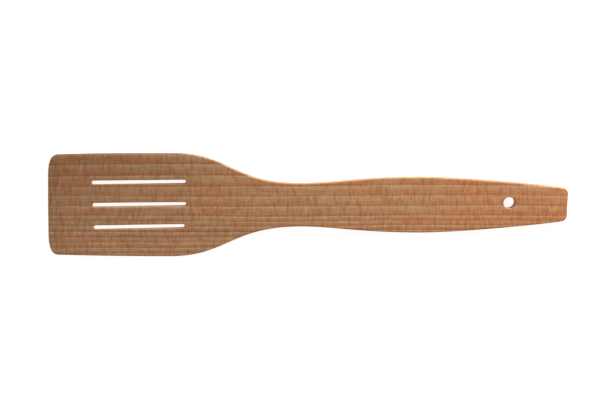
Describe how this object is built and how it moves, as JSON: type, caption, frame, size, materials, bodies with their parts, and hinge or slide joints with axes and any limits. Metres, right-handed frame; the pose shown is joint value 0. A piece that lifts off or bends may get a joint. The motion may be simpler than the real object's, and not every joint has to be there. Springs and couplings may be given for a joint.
{
  "type": "wooden spatula",
  "caption": "Slotted wooden turner cut from one flat board, with a wide blade, rounded shoulders, a swelling grip and a hanging hole.",
  "frame": {"origin": "centre of the outline's box, on the flat back that the spatula rests on", "axes": "+X runs along the board from the blade to the handle's end, +Y across it, +Z out of the face"},
  "size_m": [0.3, 0.0596, 0.007],
  "materials": {
    "beech": "sanded, unvarnished, lightly worn"
  },
  "bodies": {
    "root": {"spatula": "beech"}
  },
  "joints": []
}
